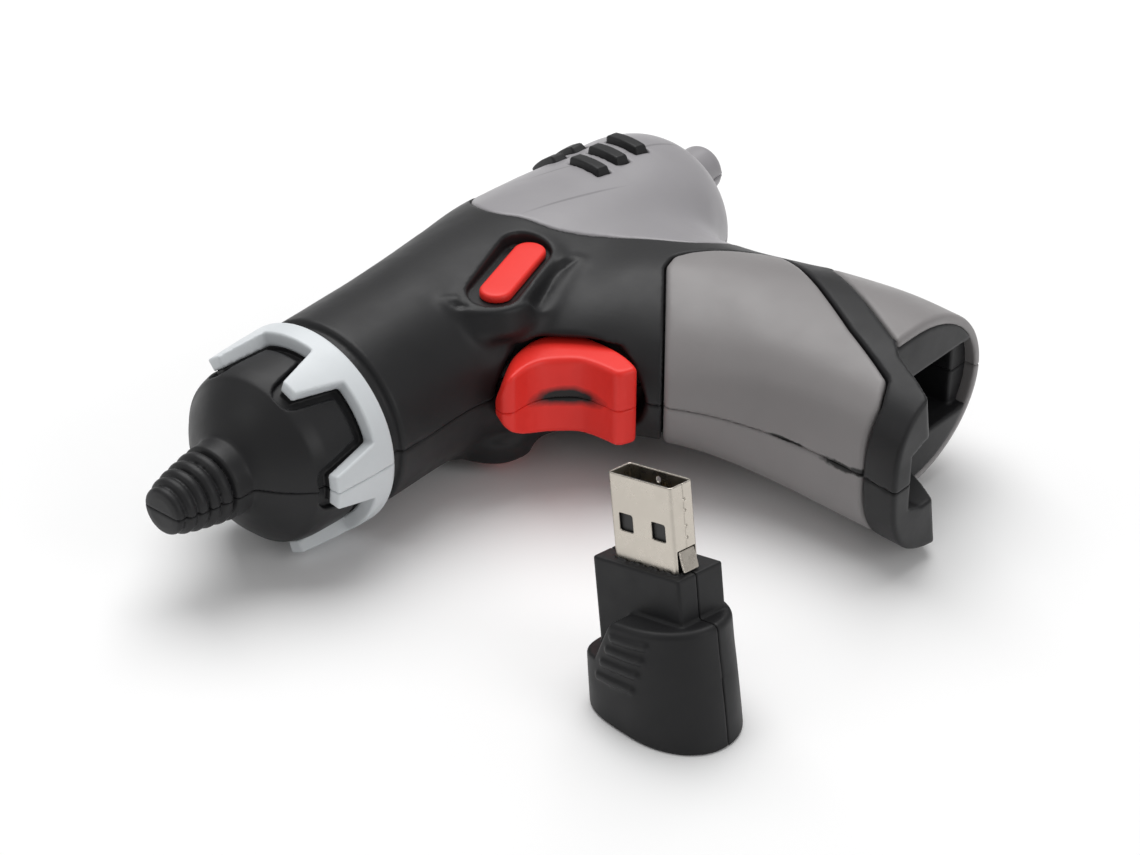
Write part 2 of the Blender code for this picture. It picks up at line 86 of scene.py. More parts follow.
def step_up(x, low, high):
    t = np.clip((x - low) / (high - low), 0.0, 1.0)
    return t * t * (3 - 2 * t)


def curve(points, column, melt=0.0):
    """A smooth curve through one column of a table, as a function of its first column."""
    rows = sorted(points)
    x = np.array([row[0] for row in rows], float)
    y = np.array([row[column] for row in rows], float)
    h = np.diff(x)
    d = np.diff(y) / h
    m = np.zeros(len(x))
    m[0], m[-1] = d[0], d[-1]
    for i in range(1, len(x) - 1):
        if d[i - 1] * d[i] > 0:
            w1, w2 = 2 * h[i] + h[i - 1], h[i] + 2 * h[i - 1]
            m[i] = (w1 + w2) / (w1 / d[i - 1] + w2 / d[i])
    t = np.linspace(x[0], x[-1], 900)
    k = np.clip(np.searchsorted(x, t) - 1, 0, len(h) - 1)
    u = (t - x[k]) / h[k]
    value = ((1 + 2 * u) * (1 - u) ** 2 * y[k] + u * (1 - u) ** 2 * h[k] * m[k]
             + u * u * (3 - 2 * u) * y[k + 1] + u * u * (u - 1) * h[k] * m[k + 1])
    if melt:
        reach = int(2.5 * melt / (t[1] - t[0])) + 1
        weight = np.exp(-0.5 * (np.arange(-reach, reach + 1) * (t[1] - t[0]) / melt) ** 2)
        first = 2 * value[0] - value[reach:0:-1]
        last = 2 * value[-1] - value[-2:-reach - 2:-1]
        value = np.convolve(np.concatenate((first, value, last)), weight / weight.sum(), "valid")
    return lambda v: np.interp(v, t, value)


def spline(points, steps=6):
    """A closed smooth outline through the points."""
    p = np.array(points, float)
    before, after, beyond = np.roll(p, 1, 0), np.roll(p, -1, 0), np.roll(p, -2, 0)
    made = []
    for i in range(len(p)):
        for s in range(steps):
            t = s / steps
            made.append(0.5 * ((2 * p[i]) + (after[i] - before[i]) * t
                               + (2 * before[i] - 5 * p[i] + 4 * after[i] - beyond[i]) * t ** 2
                               + (3 * p[i] - before[i] - 3 * after[i] + beyond[i]) * t ** 3))
    return np.array(made)


def polygon_field(points, x, y):
    """Signed distance to a closed outline."""
    p = np.array(points, float)
    q = np.roll(p, -1, 0)
    nearest = np.full(x.shape, 1e9)
    inside = np.zeros(x.shape, bool)
    for (x0, y0), (x1, y1) in zip(p, q):
        ex, ey = x1 - x0, y1 - y0
        t = np.clip(((x - x0) * ex + (y - y0) * ey) / max(ex * ex + ey * ey, 1e-9), 0.0, 1.0)
        nearest = np.minimum(nearest, (x - x0 - t * ex) ** 2 + (y - y0 - t * ey) ** 2)
        if y0 != y1:
            inside ^= ((y0 > y) != (y1 > y)) & (x < x0 + (y - y0) * ex / ey)
    return np.where(inside, -1.0, 1.0) * np.sqrt(nearest)


class Plan:
    """A field of x and y alone, kept on a fine grid and read between its points."""

    def __init__(self, low, high, field, step=0.2):
        self.low, self.step = np.array(low, float), step
        self.count = np.ceil((np.array(high) - self.low) / step).astype(int) + 1
        x = self.low[0] + step * np.arange(self.count[0])
        y = self.low[1] + step * np.arange(self.count[1])
        self.table = field(*np.meshgrid(x, y, indexing="ij"))

    def __call__(self, x, y):
        u = np.clip((x - self.low[0]) / self.step, 0.0, self.count[0] - 1.001)
        v = np.clip((y - self.low[1]) / self.step, 0.0, self.count[1] - 1.001)
        i, j = u.astype(int), v.astype(int)
        u, v = u - i, v - j
        t = self.table
        return ((t[i, j] * (1 - u) + t[i + 1, j] * u) * (1 - v)
                + (t[i, j + 1] * (1 - u) + t[i + 1, j + 1] * u) * v)


DRILL_LOW, DRILL_HIGH = (-108.0, -24.0), (2.0, 92.0)


def outline(points, corner=0.0):
    """The signed distance to an outline in plan, with its outer corners rounded."""
    def field(x, y):
        hard = polygon_field(points, x, y)
        if corner <= 0:
            return hard
        # shrink the outline, then grow it again
        p = np.array(points, float)
        q, r = np.roll(p, 1, 0), np.roll(p, -1, 0)
        turn = np.sign(np.sum(p[:, 0] * r[:, 1] - r[:, 0] * p[:, 1]))
        a = (p - q) / np.linalg.norm(p - q, axis=1)[:, None]
        b = (r - p) / np.linalg.norm(r - p, axis=1)[:, None]
        na = np.stack((a[:, 1], -a[:, 0]), 1) * turn
        nb = np.stack((b[:, 1], -b[:, 0]), 1) * turn
        out = (na + nb) / np.maximum(0.35, 1.0 + np.sum(na * nb, 1))[:, None]
        return polygon_field(p - out * corner, x, y) - corner
    return Plan(DRILL_LOW, DRILL_HIGH, field)


# ---------------------------------------------------------------- meshes

CORNERS = np.array([(i, j, k) for i in (0, 1) for j in (0, 1) for k in (0, 1)])
EDGES = [(a, b) for a in range(8) for b in range(a + 1, 8) if np.abs(CORNERS[a] - CORNERS[b]).sum() == 1]


def gradient(field, p, h):
    made = np.empty_like(p)
    for axis in range(3):
        shift = np.zeros(3)
        shift[axis] = h
        made[:, axis] = (field(*(p + shift).T) - field(*(p - shift).T)) / (2 * h)
    return made


def surface(field, low, high, step):
    """The closed mesh where a field is zero, as corners and four-sided faces."""
    low = np.array(low, float) - step * 1.37
    blocks = np.ceil((np.array(high) + step * 1.5 - low) / (step * 4)).astype(int)
    axes = [low[i] + step * 4 * np.arange(blocks[i] + 1) for i in range(3)]
    points = np.stack(np.meshgrid(*axes, indexing="ij"), -1).reshape(-1, 3)
    coarse = field(*points.T).reshape(blocks + 1)
    close = np.minimum.reduce([np.abs(coarse)[i:blocks[0] + i, j:blocks[1] + j, k:blocks[2] + k]
                               for i, j, k in CORNERS])
    value = np.sign(coarse[:-1, :-1, :-1]) * 99.0
    value = value.repeat(4, 0).repeat(4, 1).repeat(4, 2)
    value = np.pad(value, ((0, 1), (0, 1), (0, 1)), mode="edge").astype(np.float32)
    live = np.argwhere(close < step * 5.0)
    span = np.stack(np.meshgrid(*[np.arange(5)] * 3, indexing="ij"), -1).reshape(-1, 3)
    where = (live[:, None, :] * 4 + span[None]).reshape(-1, 3)
    for start in range(0, len(where), 600000):
        part = where[start:start + 600000]
        value[tuple(part.T)] = field(*(low + step * part).T)
    inside = value < 0
    shape = np.array(value.shape)
    cells = []
    for axis in range(3):
        one, two = (axis + 1) % 3, (axis + 2) % 3
        lower = [slice(None)] * 3
        upper = [slice(None)] * 3
        lower[axis], upper[axis] = slice(0, -1), slice(1, None)
        for outward in (True, False):
            here, there = inside[tuple(lower)], inside[tuple(upper)]
            found = np.argwhere(here & ~there if outward else there & ~here)
            found = found[(found[:, one] > 0) & (found[:, two] > 0)]
            ring = []
            for u, v in ((-1, -1), (0, -1), (0, 0), (-1, 0)):
                cell = found.copy()
                cell[:, one] += u
                cell[:, two] += v
                ring.append(np.ravel_multi_index(tuple(cell.T), shape))
            cells.append(np.stack(ring if outward else ring[::-1], 1))
    cells = np.concatenate(cells)
    used, faces = np.unique(cells, return_inverse=True)
    faces = faces.reshape(cells.shape)
    base = np.stack(np.unravel_index(used, shape), 1)
    values = np.stack([value[tuple((base + c).T)] for c in CORNERS], 1).astype(float)
    total, count = np.zeros((len(base), 3)), np.zeros(len(base))
    for a, b in EDGES:
        cut = (values[:, a] < 0) != (values[:, b] < 0)
        t = np.where(cut, values[:, a] / np.where(cut, values[:, a] - values[:, b], 1.0), 0.0)
        total += cut[:, None] * (CORNERS[a] + t[:, None] * (CORNERS[b] - CORNERS[a]))
        count += cut
    points = low + step * (base + total / np.maximum(count, 1)[:, None])
    for _ in range(3):
        slope = gradient(field, points, step * 0.2)
        move = -slope * (field(*points.T) / np.maximum((slope ** 2).sum(1), 0.15))[:, None]
        size = np.linalg.norm(move, axis=1)
        points += move * np.minimum(1.0, step * 0.4 / np.maximum(size, 1e-9))[:, None]
    return points, faces


def flipped(points, faces):
    """The same mesh on the other side of the mid-plane."""
    return points * np.array((1.0, 1.0, -1.0)), faces[:, ::-1]


def piece(name, points, faces, material, body, nodes, slot, place=None):
    """Make a mesh a piece of the model: place takes it from its own axes to the row frame."""
    mesh = bpy.data.meshes.new(name)
    world = (points + ORIGIN) if place is None else place(points)
    mesh.vertices.add(len(world))
    mesh.vertices.foreach_set("co", (world * MM).astype(np.float32).ravel())
    mesh.loops.add(faces.size)
    mesh.loops.foreach_set("vertex_index", faces.astype(np.int32).ravel())
    mesh.polygons.add(len(faces))
    mesh.polygons.foreach_set("loop_start", (np.arange(len(faces)) * faces.shape[1]).astype(np.int32))
    mesh.polygons.foreach_set("use_smooth", np.ones(len(faces), bool))
    mesh.update(calc_edges=True)
    mesh.validate()
    obj = bpy.data.objects.new(name, mesh)
    bpy.context.scene.collection.objects.link(obj)
    mesh.materials.append(material)
    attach(obj, body)
    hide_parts(*nodes)


# Half the gap between two glued halves, and the rounding of its edges
SEAM, SEAM_ROUND = 0.03, 0.1


def drill_pair(name, upper, lower, material, slot, number=""):
    """The two halves of a drill piece, from the upper half's mesh and the lower half's mesh turned up."""
    for half, mesh in (("upper", upper), ("lower", flipped(*lower))):
        node_name = f"{name}_{half}{number}"
        piece(f"{node_name}_skin", *mesh, material, "drill", [node_name], slot)


def halves(name, field, low, high, step, material, slot, lower=None):
    """Both halves of a drill piece: the lower one mirrors the upper, unless it has a field of its own."""
    def half_mesh(whole):
        def half(x, y, z):
            return round_max(whole(x, y, z), SEAM - z, SEAM_ROUND)
        return surface(half, (low[0], low[1], 0.0), high, step)
    upper = half_mesh(field)
    drill_pair(name, upper, half_mesh(lower) if lower else upper, material, slot)


# ---------------------------------------------------------------- drill: tables of its shape

# Barrel sections: x, centre y, half height, half thickness
BARREL = [
    (4.0, 0.0, 15.6, 15.6), (-4.4, -0.1, 15.65, 15.65), (-16.5, -0.6, 15.8, 15.7), (-27.0, -0.7, 16.6, 16.0),
    (-39.0, -0.8, 18.2, 16.3), (-50.0, -0.9, 19.9, 16.3), (-61.0, -1.2, 19.4, 15.9),
    (-70.0, -1.6, 18.1, 15.4), (-80.0, -2.6, 16.9, 14.9), (-86.0, -3.3, 14.9, 13.4),
    (-89.6, -3.4, 11.6, 10.9), (-91.5, -3.2, 7.8, 7.4), (-92.4, -3.0, 4.3, 4.0), (-92.75, -3.0, 0.3, 0.3),
]
# Handle sections: y, front x, back x, half thickness, squareness of the front
HANDLE = [
    (4.0, -21.5, -82.0, 12.0, 2.0), (15.0, -24.5, -79.0, 13.6, 1.95), (22.0, -28.6, -77.0, 14.3, 1.85),
    (29.0, -33.4, -76.8, 14.5, 1.7), (37.0, -38.0, -78.2, 14.6, 1.85), (46.0, -41.4, -79.8, 14.7, 2.3),
    (57.0, -42.9, -80.9, 14.8, 2.8), (66.0, -42.8, -80.2, 14.7, 3.0), (79.0, -41.4, -79.8, 14.5, 2.9),
]
BARREL_FRONT = -2.7
# The flesh that fills the angle between barrel and handle, and how far the three melt into each other
WEB_AT, WEB_RADII = (-38.0, 9.5, 0.0), (15.0, 11.0, 13.2)
HANDLE_MELT, WEB_MELT = 6.0, 5.0
# The neck in front that the collar is fitted on, and how far the handle's end swells and where
COLLAR_SEAT_RADIUS, COLLAR_SEAT_X = 14.65, (-12.0, -0.9)
END_SWELL, END_SWELL_Y = 0.35, (38.0, 47.0)
# Outlines in plan of the pieces that are set into the body
REAR_COVER = [(-45.3, -2.75), (-46.5, 0.3), (-48.2, 5.55), (-50.9, 9.1), (-54.3, 12.3), (-57.8, 16.4),
              (-60.8, 21.2), (-63.2, 23.4), (-66.5, 24.8), (-71.0, 25.2), (-78.0, 25.0), (-112.0, 25.0),
              (-112.0, -30.0), (-66.0, -30.0), (-63.0, -22.0), (-59.0, -18.0), (-54.0, -15.6),
              (-50.0, -13.2), (-47.2, -10.0), (-45.4, -6.0)]
SIDE_PANEL = [(-52.0, 25.5), (-38.0, 36.7), (-30.0, 42.9), (-30.0, 64.0), (-42.4, 70.9), (-45.1, 71.3),
              (-48.8, 69.8), (-54.9, 58.5), (-61.6, 47.9), (-65.8, 41.0), (-68.0, 36.5), (-67.5, 34.0),
              (-64.6, 30.4), (-61.5, 27.6), (-58.0, 25.6), (-55.0, 24.6)]
BACK_PANEL = [(-70.8, 43.0), (-95.0, 40.6), (-95.0, 66.0), (-56.4, 66.0)]
# What is cut away behind the handle's lip, and how far the cut moves in x for each mm up
END_CUT = [(-58.6, 66.0), (-56.0, 68.6), (-54.4, 71.2), (-53.0, 73.8), (-51.3, 76.4), (-50.2, 78.0),
           (-50.2, 92.0), (-98.0, 92.0), (-98.0, 66.0)]
END_SLANT = 0.168
TRIGGER = [(-20.6, 18.4), (-20.5, 19.7), (-21.6, 20.7), (-23.3, 20.8), (-25.1, 20.9), (-27.5, 21.6),
           (-29.6, 23.2), (-31.3, 25.2), (-31.9, 27.2), (-32.1, 30.1), (-32.2, 32.3), (-33.8, 33.4),
           (-35.6, 33.3), (-37.3, 28.5), (-37.4, 22.0), (-35.4, 18.0), (-31.5, 16.2), (-27.0, 16.3),
           (-23.0, 16.9), (-21.2, 17.5)]
# The gap round the trigger in its seat, and half the seat's thickness
SEAT_GAP, SEAT_HALF = 0.7, 7.7
# Along the trigger, t runs down it and n out of it. Its half thickness above and below the mid-plane, over t
TRIGGER_AT, TRIGGER_SLANT = (-24.0, 16.0), math.radians(35.8)
TRIGGER_TOP = [(-6.0, 0.5), (-1.0, 1.4), (-0.2, 2.2), (0.2, 3.0), (0.8, 4.6), (1.6, 6.0), (2.6, 6.6),
               (4.0, 6.85), (6.0, 6.95), (30.0, 6.95)]
TRIGGER_LOW = [(-6.0, 0.5), (-1.0, 1.2), (0.2, 1.8), (1.2, 2.8), (2.5, 4.0), (4.0, 5.4), (6.5, 6.2),
               (10.0, 6.4), (30.0, 6.4)]
# The pocket the trigger stands in: half its outline as t and z, and the level of its bottom along n
MOUTH_DEPTH = -5.0
MOUTH = [(-0.9, 0.0), (-0.6, 1.8), (0.25, 3.4), (1.35, 5.4), (2.76, 6.8), (5.1, 8.1), (7.5, 8.7), (10.5, 8.8),
         (13.0, 8.4), (15.5, 7.6), (18.0, 6.6), (19.7, 5.5), (20.9, 3.7), (21.7, 2.1), (22.2, 0.0)]
# The side button and its well, as pills with two ends and a radius, and the rim and its sloping skirt
BUTTON_ENDS, BUTTON_RADIUS, BUTTON_TOP = ((-41.2, 6.9), (-29.0, 10.9)), 2.6, 15.1
WELL_ENDS, WELL_RADIUS, WELL_FLOOR = ((-40.8, 6.5), (-28.8, 10.4)), 4.0, 13.6
RIM_TOP, RIM_WALL, SKIRT_SLOPE, SKIRT_FOOT = 14.1, 1.2, 0.3, 9.0
# The hollow that sweeps round below the button, the crest along its edge, which is higher in front, and the
# soft fold inside it
HOLLOW_DEPTH, FOLD_HEIGHT, FOLD_WIDTH = 1.05, 0.2, 1.0
CREST_HEIGHT, CREST_RISE, CREST_RISE_X, CREST_WIDTH = 0.25, 0.3, (-37.0, -31.0), 1.2
HOLLOW = [(-21.9, 7.0), (-22.2, 9.6), (-24.6, 12.4), (-27.7, 14.5), (-31.0, 16.4), (-34.1, 17.2), (-37.3, 16.6),
          (-42.3, 14.7), (-45.8, 13.5), (-44.1, 12.0), (-41.0, 10.5), (-35.0, 9.5), (-29.0, 10.0),
          (-24.0, 8.2)]
FOLD = [(-42.6, 12.2), (-40.6, 13.2), (-37.9, 14.9), (-34.8, 15.4), (-31.0, 14.7)]
# Along the handle: the end of its lip, its end round the socket, and the bottom of the socket
LIP_END, HANDLE_END, SOCKET_BOTTOM = 77.5, 66.0, 43.5
SOCKET_X, SOCKET_HALF = (-74.8, -57.4), 5.95
# The notch between socket and lip: its front in x, where it starts along the handle, its least and most half
# width, and how far back it has its most
NOTCH_X, NOTCH_START, NOTCH_HALF, NOTCH_RUN = -45.3, 64.0, (4.6, 5.9), 3.3
NUB_AT, NUB_LENGTH, NUB_ROOT, NUB_RADIUS, NUB_TILT = (-92.0, -6.0), 11.0, 3.0, 4.2, math.radians(4.0)
# Cooling ribs: x, degrees round the barrel from straight out of the side, length
RIBS = [(-67.85, 8.2, 7.4), (-73.2, 10.3, 7.5), (-78.4, 11.9, 7.7), (-70.0, 48.5, 7.5), (-74.8, 48.5, 7.5)]
RIB_WIDTH, RIB_HEIGHT, RIB_DEPTH, RIB_DRAFT, RIB_SLANT = 2.5, 0.95, 1.0, 0.2, math.radians(-10.0)
RIB_SEAT_GAP, RIB_SEAT_DEPTH = 0.25, 1.1
# Where the barrel's axis lies at the ribs, and how far out of it they are looked for
RIB_AXIS_Y, RIB_REACH = -1.2, 17.0

barrel_centre = curve(BARREL, 1, 2.0)
barrel_high = curve([(x, a * a) for x, _, a, _ in BARREL], 1, 0.8)
barrel_thick = curve([(x, b * b) for x, _, _, b in BARREL], 1, 0.8)
handle_front = curve(HANDLE, 1, 2.5)
handle_back = curve(HANDLE, 2, 2.5)
handle_thick = curve(HANDLE, 3, 2.5)
handle_square = curve(HANDLE, 4, 2.5)


def barrel(x, y, z):
    across = y - barrel_centre(x)
    reach = np.maximum(np.hypot(across, z), 1e-3)
    a2, b2 = np.maximum(barrel_high(x), 0.02), np.maximum(barrel_thick(x), 0.02)
    radius = 1.0 / np.sqrt((across / reach) ** 2 / a2 + (z / reach) ** 2 / b2)
    lean = (np.sqrt(np.maximum(barrel_high(x + 0.2), 0.02)) - np.sqrt(a2)) / 0.2
    return (reach - radius) / np.sqrt(1.0 + lean ** 2)


def handle(x, y, z):
    def section(level):
        front, back = handle_front(level), handle_back(level)
        along = x - (front + back) / 2
        power = np.where(along > 0, handle_square(level), 2.0)
        reach = np.maximum(np.hypot(along, z), 1e-3)
        share = ((np.abs(along) / reach / (front - back) * 2) ** power
                 + (np.abs(z) / reach / handle_thick(level)) ** power) ** (1 / power)
        return reach - 1.0 / share
    here = section(y)
    lean = (section(y + 0.3) - here) / 0.3
    return here / np.sqrt(1.0 + lean ** 2)


def body(x, y, z):
    """The whole outside of barrel and handle, before it is divided between the colours."""
    f = soft_min(barrel(x, y, z), np.maximum(handle(x, y, z), HANDLE[0][0] - y), HANDLE_MELT)
    offsets = [(v - at) / radius for v, at, radius in zip((x, y, z), WEB_AT, WEB_RADII)]
    web = np.sqrt(sum(offset ** 2 for offset in offsets))
    return soft_min(f, (web - 1.0) * WEB_RADII[1], WEB_MELT)


def pill_distance(x, y, ends):
    (x0, y0), (x1, y1) = ends
    ex, ey = x1 - x0, y1 - y0
    t = np.clip(((x - x0) * ex + (y - y0) * ey) / (ex * ex + ey * ey), 0.0, 1.0)
    return np.hypot(x - x0 - t * ex, y - y0 - t * ey)


cover_plan = outline(spline(REAR_COVER, 5))
side_plan = outline(SIDE_PANEL, 1.6)
back_plan = outline(BACK_PANEL, 0.6)
end_plan = outline(END_CUT)
trigger_plan = outline(spline(TRIGGER, 4))
hollow_plan = outline(spline(HOLLOW, 3))
fold_plan = outline(FOLD + FOLD[-2:0:-1])
trigger_top = curve(TRIGGER_TOP, 1, 0.25)
trigger_low = curve(TRIGGER_LOW, 1, 0.25)
MOUTH_RING = spline(MOUTH + [(t, -z) for t, z in MOUTH[-2:0:-1]], 3)
mouth_plan = Plan((-4.0, 0.0), (26.0, 13.0), lambda t, z: polygon_field(MOUTH_RING, t, z))


def trigger_axes(x, y):
    c, s = math.cos(TRIGGER_SLANT), math.sin(TRIGGER_SLANT)
    x, y = x - TRIGGER_AT[0], y - TRIGGER_AT[1]
    return y * c - x * s, x * c + y * s


def rib_frame(x, y, z, rib):
    """A rib's own axes: along its width, along its length, and out from the barrel."""
    along, angle, _ = rib
    angle = math.radians(angle)
    y, x = y - RIB_AXIS_Y, x - along
    v = y * math.cos(angle) + z * math.sin(angle)
    t = z * math.cos(angle) - y * math.sin(angle)
    u = x * math.cos(RIB_SLANT) + v * math.sin(RIB_SLANT)
    v = v * math.cos(RIB_SLANT) - x * math.sin(RIB_SLANT)
    return u, v, t


def rectangle(u, v, half_u, half_v, corner):
    du, dv = np.abs(u) - half_u + corner, np.abs(v) - half_v + corner
    return np.minimum(np.maximum(du, dv), 0.0) + np.hypot(np.maximum(du, 0.0), np.maximum(dv, 0.0)) - corner


def rib_plan(x, y, z, rib, grow=0.0):
    u, v, t = rib_frame(x, y, z, rib)
    return np.maximum(rectangle(u, v, RIB_WIDTH / 2 + grow, rib[2] / 2 + grow, 0.3), 4.0 - t)


# ---------------------------------------------------------------- drill: its pieces

# Thickness of the handle's panels, how far they stand proud, and how far the cover lies below the outside
PANEL_DEPTH, BACK_DEPTH, PROUD, BACK_PROUD, COVER_INSET = 1.5, 1.7, 0.3, 0.1, 0.12
# Clearance of a piece inside its own outline, of the black body outside it, and under a panel
PLAN_GAP, PANEL_GAP, COVER_GAP, UNDER_GAP = 0.05, 0.25, 0.1, 0.2


def core_field(x, y, z, side=1.0):
    """Black body: seats for the panels, rim and well of the button, trigger pocket, socket and lip."""
    f = body(x, y, z)
    neck = np.maximum(x - COLLAR_SEAT_X[1], COLLAR_SEAT_X[0] - x)
    neck = np.maximum(np.hypot(y, z) - COLLAR_SEAT_RADIUS, neck)
    f = round_min(round_max(f, x - BARREL_FRONT, 0.7), neck, 0.4)
    f = f - END_SWELL * step_up(y, *END_SWELL_Y)
    # the button's rim on its sloping skirt
    well = pill_distance(x, y, WELL_ENDS) - WELL_RADIUS
    skirt = well - RIM_WALL - SKIRT_SLOPE * (RIM_TOP - np.abs(z))
    skirt = round_max(round_max(skirt, np.abs(z) - RIM_TOP, 0.8), SKIRT_FOOT - np.abs(z), 2.0)
    f = soft_min(f, skirt, 3.0)
    # the hollow below the button, with a crest along its outer edge and a fold inside, and the well
    edge = hollow_plan(x, y)
    clear = step_up(well, 0.8, 2.2)
    crest = CREST_HEIGHT + CREST_RISE * step_up(x, *CREST_RISE_X)
    carve = HOLLOW_DEPTH * step_up(-edge, 0.0, 3.0) - crest * np.exp(-(edge / CREST_WIDTH) ** 2)
    carve -= FOLD_HEIGHT * np.exp(-(fold_plan(x, y) / FOLD_WIDTH) ** 2)
    f = f + carve * clear * step_up(np.abs(z), 4.0, 6.5)
    f = round_max(f, -np.maximum(well, WELL_FLOOR - np.abs(z)), 0.4)
    # the trigger's seat, and the wide mouth in front of it
    t, n = trigger_axes(x, y)
    f = round_max(f, -round_max(trigger_plan(x, y) - SEAT_GAP, np.abs(z) - SEAT_HALF, 0.6), 0.4)
    f = round_max(f, -round_max(mouth_plan(t, np.abs(z)), MOUTH_DEPTH - n, 0.8), 0.8)
    for plan, depth, edge in ((side_plan, PANEL_DEPTH, 0.45), (back_plan, BACK_DEPTH, 0.4)):
        f = round_max(f, round_min(PANEL_GAP - plan(x, y), f + depth, 0.2), edge)
    f = round_max(f, COVER_GAP - cover_plan(x, y), 0.35)
    f = round_max(f, -end_plan(x - END_SLANT * side * np.abs(z), y), 0.5)
    f = round_max(f, y - LIP_END, 0.6)
    socket = np.maximum(np.maximum(x - SOCKET_X[1], SOCKET_X[0] - x),
                        np.maximum(np.abs(z) - SOCKET_HALF, SOCKET_BOTTOM - y))
    f = round_max(f, -socket, 0.3)
    widening = (NOTCH_X - x) * (NOTCH_HALF[1] - NOTCH_HALF[0]) / NOTCH_RUN
    width = np.clip(NOTCH_HALF[0] + widening, *NOTCH_HALF)
    notch = np.maximum(np.maximum(np.abs(z) - width, x - NOTCH_X), NOTCH_START - y)
    return round_max(f, -notch, 0.35)


def side_field(x, y, z):
    f = body(x, y, z)
    skin = round_max(f - PROUD, side_plan(x, y) + PLAN_GAP, 0.9)
    return round_max(skin, -(f + PANEL_DEPTH - UNDER_GAP), 0.2)


def back_field(x, y, z):
    f = body(x, y, z)
    edge = np.maximum(back_plan(x, y) + PLAN_GAP, y - HANDLE_END)
    return round_max(round_max(f - BACK_PROUD, edge, 0.8), -(f + BACK_DEPTH - UNDER_GAP), 0.3)


def cover_field(x, y, z):
    f = round_max(body(x, y, z) + COVER_INSET, cover_plan(x, y) + PLAN_GAP, 0.45)
    c, s = math.cos(NUB_TILT), math.sin(NUB_TILT)
    u, v = (NUB_AT[0] - x) * c + (NUB_AT[1] - y) * s, (y - NUB_AT[1]) * c - (x - NUB_AT[0]) * s
    nub = round_max(np.hypot(v, z) - NUB_RADIUS, u - NUB_LENGTH, 1.6)
    f = round_min(f, np.maximum(nub, -NUB_ROOT - u), 0.5)
    for rib in RIBS:
        seat = np.maximum(rib_plan(x, y, z, rib, RIB_SEAT_GAP), -(body(x, y, z) + RIB_SEAT_DEPTH))
        f = round_max(f, -seat, 0.2)
    return f


def rib_field(rib):
    def field(x, y, z):
        f = body(x, y, z)
        sides = rib_plan(x, y, z, rib) + RIB_DRAFT * np.maximum(f, -RIB_DEPTH)
        return round_max(round_max(sides, f - RIB_HEIGHT, 0.25), -(f + RIB_DEPTH), 0.2)
    return field


def trigger_field(thickness, slope):
    """The trigger, with its half thickness as a function of t."""
    def field(x, y, z):
        t, _ = trigger_axes(x, y)
        return round_max(trigger_plan(x, y), (np.abs(z) - thickness(t)) * slope, 0.8)
    return field


def button_field(x, y, z):
    pill = pill_distance(x, y, BUTTON_ENDS) - BUTTON_RADIUS
    top = z - BUTTON_TOP + 0.02 * np.minimum(pill + BUTTON_RADIUS, 3.0) ** 2
    return round_max(round_max(pill, top, 0.5), WELL_FLOOR + 0.05 - z, 0.2)


# ---------------------------------------------------------------- chuck, bit and collar

COLLAR_OUT, COLLAR_TIP, COLLAR_IN, COLLAR_LENGTH = 16.6, 16.1, 14.1, 11.6
TOOTH_ROOT, TOOTH_PHASE, TOOTH_STEP = 3.6, math.radians(5.0), math.radians(60.0)
# Half the width of a tooth at its root, how much it narrows for each mm, and the radius it is unrolled at
TOOTH_HALF, TOOTH_TAPER, TOOTH_RADIUS = 3.25, 0.24, 15.2
# The trench in the chuck that follows the teeth: its middle outside their outline, half its width, its depth
TRENCH_OUT, TRENCH_HALF, TRENCH_DEPTH = 0.55, 0.8, 0.9
CHUCK_START, BIT_END = -0.3, 31.8
CHUCK = [(-2.0, 14.3), (3.0, 14.3), (10.5, 14.15), (12.4, 13.8), (13.3, 13.45), (13.8, 12.95), (15.0, 11.8),
         (16.2, 10.4), (17.3, 8.8), (18.1, 7.3), (18.6, 6.4), (19.0, 6.15), (21.9, 5.95), (22.3, 4.6),
         (30.6, 2.9), (31.0, 2.8), (34.0, 2.8)]
# Rings of the bit: x of the middle, half length, radius
BIT_RINGS = [(23.35, 1.05, 5.75), (25.45, 1.0, 5.35), (27.4, 0.95, 4.95), (29.25, 0.9, 4.45),
             (30.95, 0.85, 3.75)]
chuck_radius = curve(CHUCK, 1, 0.12)


def collar_plan(x, y, z):
    """Distance to the collar's outline, unrolled round the axis: a band with six teeth."""
    angle = np.arctan2(z, y) - TOOTH_PHASE
    angle = (angle + TOOTH_STEP / 2) % TOOTH_STEP - TOOTH_STEP / 2
    width = TOOTH_HALF - (x - TOOTH_ROOT) * TOOTH_TAPER
    tooth = round_max((np.abs(angle) * TOOTH_RADIUS - width) * 0.972, x - COLLAR_LENGTH, 0.35)
    return round_min(x - TOOTH_ROOT, np.maximum(tooth, -x), 0.3)


def collar_field(x, y, z):
    reach = np.hypot(y, z)
    outside = reach - (COLLAR_OUT - (COLLAR_OUT - COLLAR_TIP) * np.clip(x / COLLAR_LENGTH, 0, 1) ** 1.4)
    slab = round_max(round_max(outside, -x, 0.5), COLLAR_IN - reach, 0.2)
    return round_max(slab, collar_plan(x, y, z) + PLAN_GAP, 0.22)


def chuck_field(x, y, z):
    reach = np.hypot(y, z)
    f = (reach - chuck_radius(x)) * 0.9
    trench = np.abs(collar_plan(x, y, z) - TRENCH_OUT) - TRENCH_HALF
    f = round_max(f, -np.maximum(trench, -(f + TRENCH_DEPTH)), 0.3)
    for middle, half, radius in BIT_RINGS:
        ring = rectangle(x - middle, reach, half, radius, half * 0.97)
        f = round_min(f, ring, 0.12)
    return round_max(round_max(f, x - BIT_END, 0.3), CHUCK_START - x, 0.2)


# ---------------------------------------------------------------- the stick

